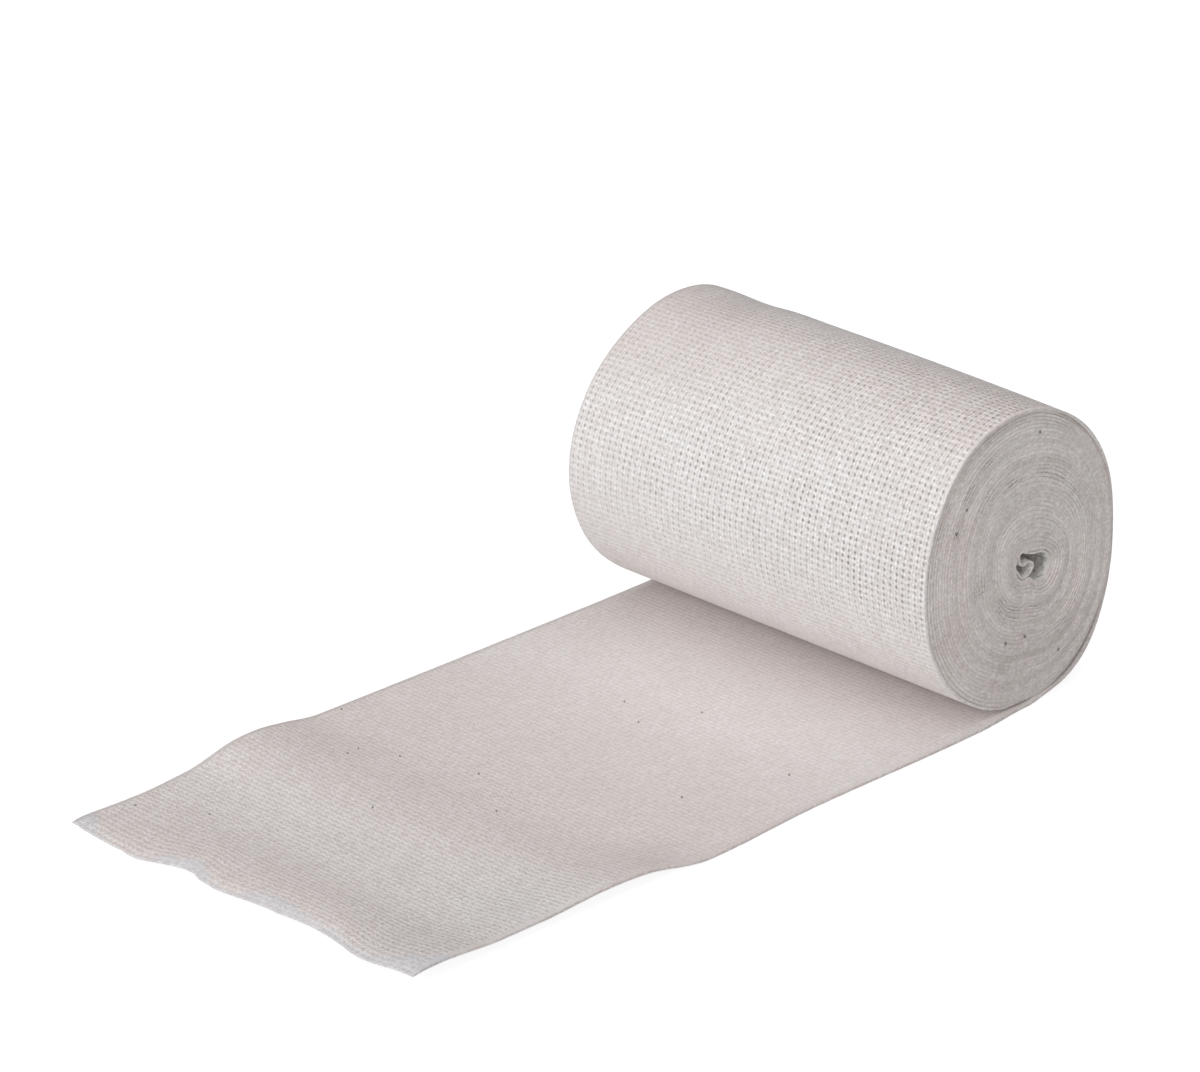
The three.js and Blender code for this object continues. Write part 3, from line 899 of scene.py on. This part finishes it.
# Painted light and painted shade on the face of the inner end, in the hollow core.
CORE_PAINTED_LIGHT = colour(240, 238, 235)
CORE_PAINTED_SHADOW = colour(160, 156, 149)
HUSK_SHADE = colour(66, 58, 50)
GREYING = (0.982, 1, 0.99, 1)  # multiplies the tone

# Bits of seed husk left in the cotton: along and across on the loose end, x and z on the roll's near end.
TAIL_HUSKS = ((-87.5, 25.2), (-90.4, 24.6), (-84.4, 18.6), (-79.8, 5), (-101, 7), (-44, 7.7), (-48, 0.5),
              (-38, -4.3), (-45, -30), (-63, -23.5), (-87.5, -7), (-120, 25), (-126, 36.8), (-79, 38.6))
END_HUSKS = ((3.7, 48.5), (-13.8, 40), (-16.3, 36.6), (1.7, 13), (-3.2, 13.3), (10.4, 7.9))


def weave(s, across, along):
    """A plain weave: the height of its yarns, from about 0 between them to 1 on their crowns, the gaps
    between pairs of warp yarns, the crowns that get painted glints, the luck of each gap and the waves of the
    pairs."""
    jitter = s.uneven("jitter", across, along)
    pair = across / PAIRS_ACROSS + s.uneven("sway across", across, along) * 0.5 + jitter * 0.14
    pick = along / PICKS_ALONG + s.uneven("sway along", across, along) * 0.9 + jitter * 0.12
    from_pair = pair - pair.floor() - 0.5
    from_pick = pick - pick.floor() - 0.5
    over = (pick * math.pi).cosine() * CRIMP
    first = 0.5 + over - 0.5 * ((from_pair - YARN_OFFSET) / YARN_HALF_WIDTH) ** 2
    second = 0.5 - over - 0.5 * ((from_pair + YARN_OFFSET) / YARN_HALF_WIDTH) ** 2
    weft = 0.5 - over * (from_pair * 2 * math.pi).sine()
    weft = weft - 0.5 * ((0.5 - abs(from_pick)) / WEFT_HALF_WIDTH) ** 2
    luck = s.dice((pair - 0.5).floor(), pick.floor())
    throw = s.dice((pair * 2).floor(), pick.floor(), 5)
    height = first.most(second).most(weft).most(-0.3) + 0.6 * (throw - 0.5)
    size = 0.85 + 0.25 * luck
    off_pair = (pair + 0.5 - (pair + 0.5).floor() - 0.5) / GAP_HALF_WIDTH / size
    off_pick = from_pick / GAP_HALF_LENGTH / size
    gap = s.step(off_pair ** 2 + off_pick ** 2 + GAP_LEAN * off_pair * off_pick, 1.25, 0.1)
    crown = s.step(((0.23 - abs(from_pair)) / 0.17) ** 2 + ((0.5 - abs(from_pick)) / 0.36) ** 2, 1.0, 0.1)
    crown = crown * (0.1 + 0.9 * throw)
    return height, gap, crown, luck, (pair * 2 * math.pi).cosine()


def specks(s, first, second, shape, places):
    """Small dark specks at places on a face. Those with a `shape` of a half are round, and those with less
    are long along the first number."""
    found = None
    for at_first, at_second in places:
        away = ((first - at_first) * shape) ** 2 + ((second - at_second) * (1 - shape)) ** 2
        speck = s.step(away, 0.04, 0.006)
        found = speck if found is None else found.most(speck)
    return found


def read_cloth(s):
    """What the material knows of each place on the cloth: the mesh's numbers, where it is woven,
    stiffened or a wound edge, and its fluff and lumps."""
    c = SimpleNamespace()
    c.across, c.along, c.through = s.numbers("cloth")
    c.opened, c.white, c.relief = s.numbers("state")
    c.turn, c.ribs, c.loose = s.numbers("winding")
    # The cut end's stiffening, painted light and shade, and painted shadow lines between turns.
    c.fused_reach, c.shade, c.rim_lines = s.numbers("finish")
    faces_y = s.parts(s.node("ShaderNodeNewGeometry").outputs["Normal"])[1]
    c.rim = s.step(abs(faces_y), 0.4, 0.7)
    own_place = s.node("ShaderNodeTexCoord").outputs["Object"]
    own_x, _, own_z = s.parts(own_place)
    c.x = own_x / MM
    c.z = own_z / MM
    c.fluff = s.noise(own_place, FLUFF_TO_A_METRE, 3, 0.6)
    c.lint = s.noise(own_place, LINT_TO_A_METRE, 3, 0.6)
    c.lumps = s.uneven("lumps", c.across, c.along)
    c.rags = s.uneven("rags", c.across, c.along * 0.6 + c.across * 0.5)
    c.fused = s.step(c.fused_reach - c.along - c.rags * 5.5, -0.5, 0.9)
    selvedge_from = HALF_WIDTH - SELVEDGE - SELVEDGE_BLEND
    selvedge = s.step(abs(c.across), selvedge_from, selvedge_from + SELVEDGE_BLEND)
    c.plain = (1 - selvedge) * (1 - c.rim)
    c.woven = c.plain * (1 - 0.3 * c.fused)
    c.height, c.gap, c.crown, c.luck, c.pairs = weave(s, c.across, c.along)
    c.beads = s.uneven("beads", c.turn * 2.1, c.along * 1.5, c.through)
    c.nips = s.uneven("nips", c.turn * 1.9, c.along * 3.0, c.through)
    c.fuzz = s.uneven("fuzz", c.x * END_SQUEEZE, c.z)
    return c


def face_light(s, c):
    """How light the faces of the cloth are: clouds and fluff, painted highlight and shade on the yarns and
    their ribs, and painted glints; more of them in the open.
    """
    clouds = s.uneven("clouds", c.across, c.along)
    # Painted highlight and shade of the yarns: lighter on their crowns, darker between them.
    light = 0.5 + 0.2 * c.relief * c.woven * (c.height - 0.42) + 0.1 * clouds
    light = light + 0.52 * c.fluff + 0.2 * c.lumps * (1 - c.rim)
    # Painted light and shade along the pairs of warp yarns, where they show as ribs.
    light = light + 0.07 * c.ribs * c.pairs * c.plain
    in_the_open = c.opened * c.woven
    # Painted glints on the yarns' crowns, and more fluff and lumps, where the weave is open.
    light = light + in_the_open * (0.18 * c.crown + c.fluff + 0.2 * c.lumps - 0.12)
    # Painted glints: bright specks in the open weave where the fluff and lint are high.
    return light + 0.5 * in_the_open * s.step(c.fluff + c.lint, 0.22, 0.34)


def rim_light(s, c):
    """How much lighter or darker the wound edges are: beads of weft, fuzz, puffs, and painted shade in bands
    of turns.
    """
    winding = s.uneven("winding", c.turn * 0.5, c.along * 0.03)
    bands = s.uneven("bands", c.turn * 0.25, c.along * 0.008)
    puffs = s.uneven("puffs", c.x * END_SQUEEZE, c.z)
    light = 0.45 * c.beads + 1.25 * c.fuzz + 0.45 * puffs + 0.45 * winding + 0.02
    # Painted shade: the bands only ever darken groups of turns.
    return c.rim * (light + bands.least(0.0) + 0.9 * c.loose * c.nips)


def cotton_tone(s, c, light):
    """The cotton's colour from its lightness, which holds painted light and shade: pinker where it is close,
    whiter where it is open and where sheen is painted, greyer at the cut end.
    """
    blush = (s.step(s.uneven("blush", c.across, c.along), -0.08, 0.16) - 0.5) * (0.1 + 0.2 * c.opened)
    paler = c.rim * (0.01 - 0.28 * s.step(c.x, -6, -19))
    tone = s.mix(c.white + blush + 0.05 + paler, s.ramp(light, YARN_SHADES), s.ramp(light, OPEN_AND_SHEEN_SHADES))
    streaks = s.step(0.5 * c.rags + c.lumps, -0.14, 0.14)
    return s.mix(0.5 * c.fused, tone, s.mix(streaks, *CUT_END_SHADES))


def turn_gap_shadows(s, c):
    """Painted shadow in the gaps between the edges of the turns, on the roll's ends."""
    apart = s.step(s.uneven("seams apart", c.turn * 0.8, c.along * 0.01), -0.09, -0.03)
    standing = c.loose * apart * s.step(c.nips, -0.08, 0.02)
    lines = 0.6 * c.rim_lines * s.step(c.beads, -0.2, 0.1)
    return s.step(abs(c.through - 0.5), 0.22, 0.42) * c.rim * standing.most(lines)


def gaps(s, c):
    """Painted shadow in the small holes of the open weave, where the cloth under them lies in shade."""
    patches = s.step(s.uneven("patches", c.across, c.along), -0.15, 0.15)
    return c.gap * c.opened * c.woven * (0.6 + 0.4 * c.luck) * (0.6 + 0.4 * patches)


def greying(s, c):
    """Patches of the roll's ends that are a little greyer, fainter towards -X."""
    patches = s.step(s.uneven("greying", c.x * END_SQUEEZE, c.z), -0.08, 0.12)
    return patches * c.rim * s.step(c.x, -19, -6, 0.2)


def lit_core_face(s, c):
    """Where the face of the strip's loose inner end is seen in the core, to be painted with light and shade.
    """
    inside = s.step(abs(c.across), HALF_WIDTH - 0.4, HALF_WIDTH - 1.6)
    return s.step(c.turn, TURNS - 1.4, TURNS - 0.9) * (1 - c.rim) * inside


def husks(s, c):
    """The bits of husk on the loose end, which lie aslant, and on the roll's near end."""
    on_tail = c.along + CUT_END_AT
    aslant = [(x + y, x - y) for x, y in TAIL_HUSKS]
    tail = specks(s, on_tail + c.across, on_tail - c.across, 0.27, aslant)
    near_end = s.step(c.across, 0.0, -1.0) * c.rim
    return tail.most(specks(s, c.x, c.z, 0.5, END_HUSKS) * near_end)


def cotton():
    """Unbleached cotton, in an open weave on the cloth's faces and close and furry on its wound edges."""
    s = Shader(bpy.data.materials.new("unbleached_cotton"))
    c = read_cloth(s)
    # The lightness holds painted light and shade from the faces, the wound edges and the mesh's numbers.
    tone = cotton_tone(s, c, face_light(s, c) + rim_light(s, c) + c.shade)
    # Painted shadow between the turns on the roll's ends.
    tone = s.mix(0.92 * turn_gap_shadows(s, c), tone, TURN_GAP_SHADOW)
    # Painted shadow in the weave's holes.
    tone = s.mix(0.78 * gaps(s, c), tone, HOLE_SHADOW)
    tone = s.mix(greying(s, c), tone, s.mix(1, tone, GREYING, "MULTIPLY"))
    core = lit_core_face(s, c)
    # Painted light: the inner end's face in the core is made near-white.
    tone = s.mix(0.9 * core, tone, CORE_PAINTED_LIGHT)
    # Painted shade in patches over it, by the fluff and lint noise.
    tone = s.mix(0.6 * core * s.step(c.lint + c.fluff, -0.02, 0.12), tone, CORE_PAINTED_SHADOW)
    tone = s.mix(0.8 * husks(s, c), tone, HUSK_SHADE)
    height = c.woven * (0.5 * c.relief * c.height - 0.6 * c.opened * c.gap)
    height = height + (0.35 + c.rim) * (c.fluff + c.lint) + c.rim * c.fuzz + 0.8 * c.fused * c.rags
    bump = s.node("ShaderNodeBump", inputs={"Strength": 0.5, "Distance": 0.0002, "Height": height})
    skin = s.node("ShaderNodeBsdfPrincipled", inputs={
        "Base Color": tone, "Roughness": 0.92, "Specular IOR Level": 0.25,
        "Sheen Weight": 0.1, "Sheen Roughness": 0.5, "Normal": bump.outputs[0]})
    s.node("ShaderNodeOutputMaterial", inputs={"Surface": skin.outputs[0]})
    return s.owner


# ---- The studio ----

SKY = 0.11
FLOOR_HALF_SIZE = 4.0
FLOOR_DROP = 0.0001  # the floor lies this little below the bandage
FLOOR_GREY = (0.72, 0.72, 0.72, 1)  # as the light meets it
SEEN_FLOOR_GREY = (0.35, 0.35, 0.35, 1)  # as the camera sees it, brightened by a glow
SEEN_FLOOR_GLOW = 0.87
# Where each broad soft light comes from, its strength and its breadth in degrees.
LIGHTS = {"front": ((-1, 0, 0.25), 2.15, 60),
          "top": ((-0.15, 0, 1), 1.25, 70),
          "end": ((0, -1, 0.3), 0.6, 60)}


def floor_finish():
    """A floor that the camera sees as bright white, and that throws light back as a plain pale one does."""
    s = Shader(bpy.data.materials.new("white_floor"))
    plain = s.node("ShaderNodeBsdfDiffuse", inputs={"Color": FLOOR_GREY})
    bright = s.node("ShaderNodeBsdfPrincipled", inputs={
        "Base Color": SEEN_FLOOR_GREY, "Roughness": 1.0, "Specular IOR Level": 0.0,
        "Emission Color": (1, 1, 1, 1), "Emission Strength": SEEN_FLOOR_GLOW})
    seen = s.node("ShaderNodeLightPath").outputs["Is Camera Ray"]
    both = s.node("ShaderNodeMixShader", inputs={0: seen, 1: plain.outputs[0], 2: bright.outputs[0]})
    s.node("ShaderNodeOutputMaterial", inputs={"Surface": both.outputs[0]})
    return s.owner


def white_sky():
    """A sky that the camera sees as white, and that lights the bandage only faintly."""
    s = Shader(bpy.data.worlds.new("white_sky"))
    seen = s.value(s.node("ShaderNodeLightPath"), "Is Camera Ray")
    air = s.node("ShaderNodeBackground", inputs={"Color": (1, 1, 1, 1), "Strength": seen * (1 - SKY) + SKY})
    s.node("ShaderNodeOutputWorld", inputs={"Surface": air.outputs[0]})
    return s.owner


def studio():
    """A white floor, a faint even sky and three broad soft lights."""
    half = FLOOR_HALF_SIZE
    mesh = bpy.data.meshes.new("floor")
    corners = [(-half, -half, 0), (half, -half, 0), (half, half, 0), (-half, half, 0)]
    mesh.from_pydata(corners, [], [(0, 1, 2, 3)])
    mesh.materials.append(floor_finish())
    floor = put("floor", mesh)
    floor.location.z = -FLOOR_DROP
    bpy.context.scene.world = white_sky()
    for name, (come_from, strength, breadth) in LIGHTS.items():
        light = bpy.data.lights.new(name, "SUN")
        light.energy = strength
        light.angle = math.radians(breadth)
        lamp = put(name, light)
        lamp.rotation_euler = Vector(come_from).to_track_quat("Z", "Y").to_euler()
    bpy.context.scene.view_settings.view_transform = "Standard"


# ---- Putting it together ----

place_camera()
studio()
cloth, strip_length = make_cloth()
cloth.data.materials.append(cotton())
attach(cloth, "root")
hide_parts("bandage")
